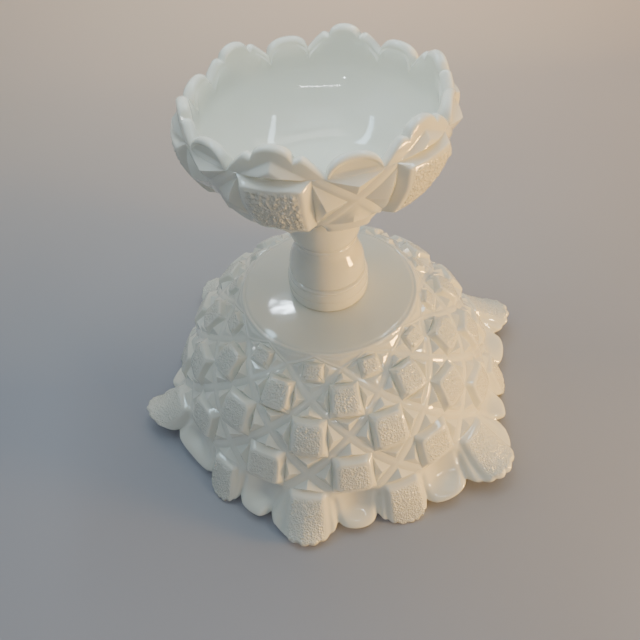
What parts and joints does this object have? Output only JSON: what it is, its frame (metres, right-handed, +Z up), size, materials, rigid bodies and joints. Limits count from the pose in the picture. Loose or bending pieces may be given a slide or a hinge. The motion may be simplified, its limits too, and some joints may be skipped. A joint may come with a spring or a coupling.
{
  "type": "cake stand",
  "caption": "Opaque white pressed-glass footed serving bowl for cakes and sweets, with a crimped rim, quilted blocks, waisted stem and hollow scalloped foot, stood upside down.",
  "frame": {"origin": "centre of the plane that the crimped rim stands on, below the middle of the stem", "axes": "+Z is up as the part stands here, from the crimped rim to the tips of the foot; -Y is the front, which faces the viewer, and +X is to the viewer's right. In use the part is turned over, 180 degrees about X, and stands on its foot."},
  "size_m": [0.2242, 0.2154, 0.191],
  "materials": {
    "milk_glass": "opaque white, fire-polished gloss, with finely stippled block faces"
  },
  "bodies": {
    "root": {"bowl": "milk_glass", "stem_base": "milk_glass", "stem_spool": "milk_glass", "stem_knop": "milk_glass", "foot": "milk_glass"}
  },
  "joints": []
}
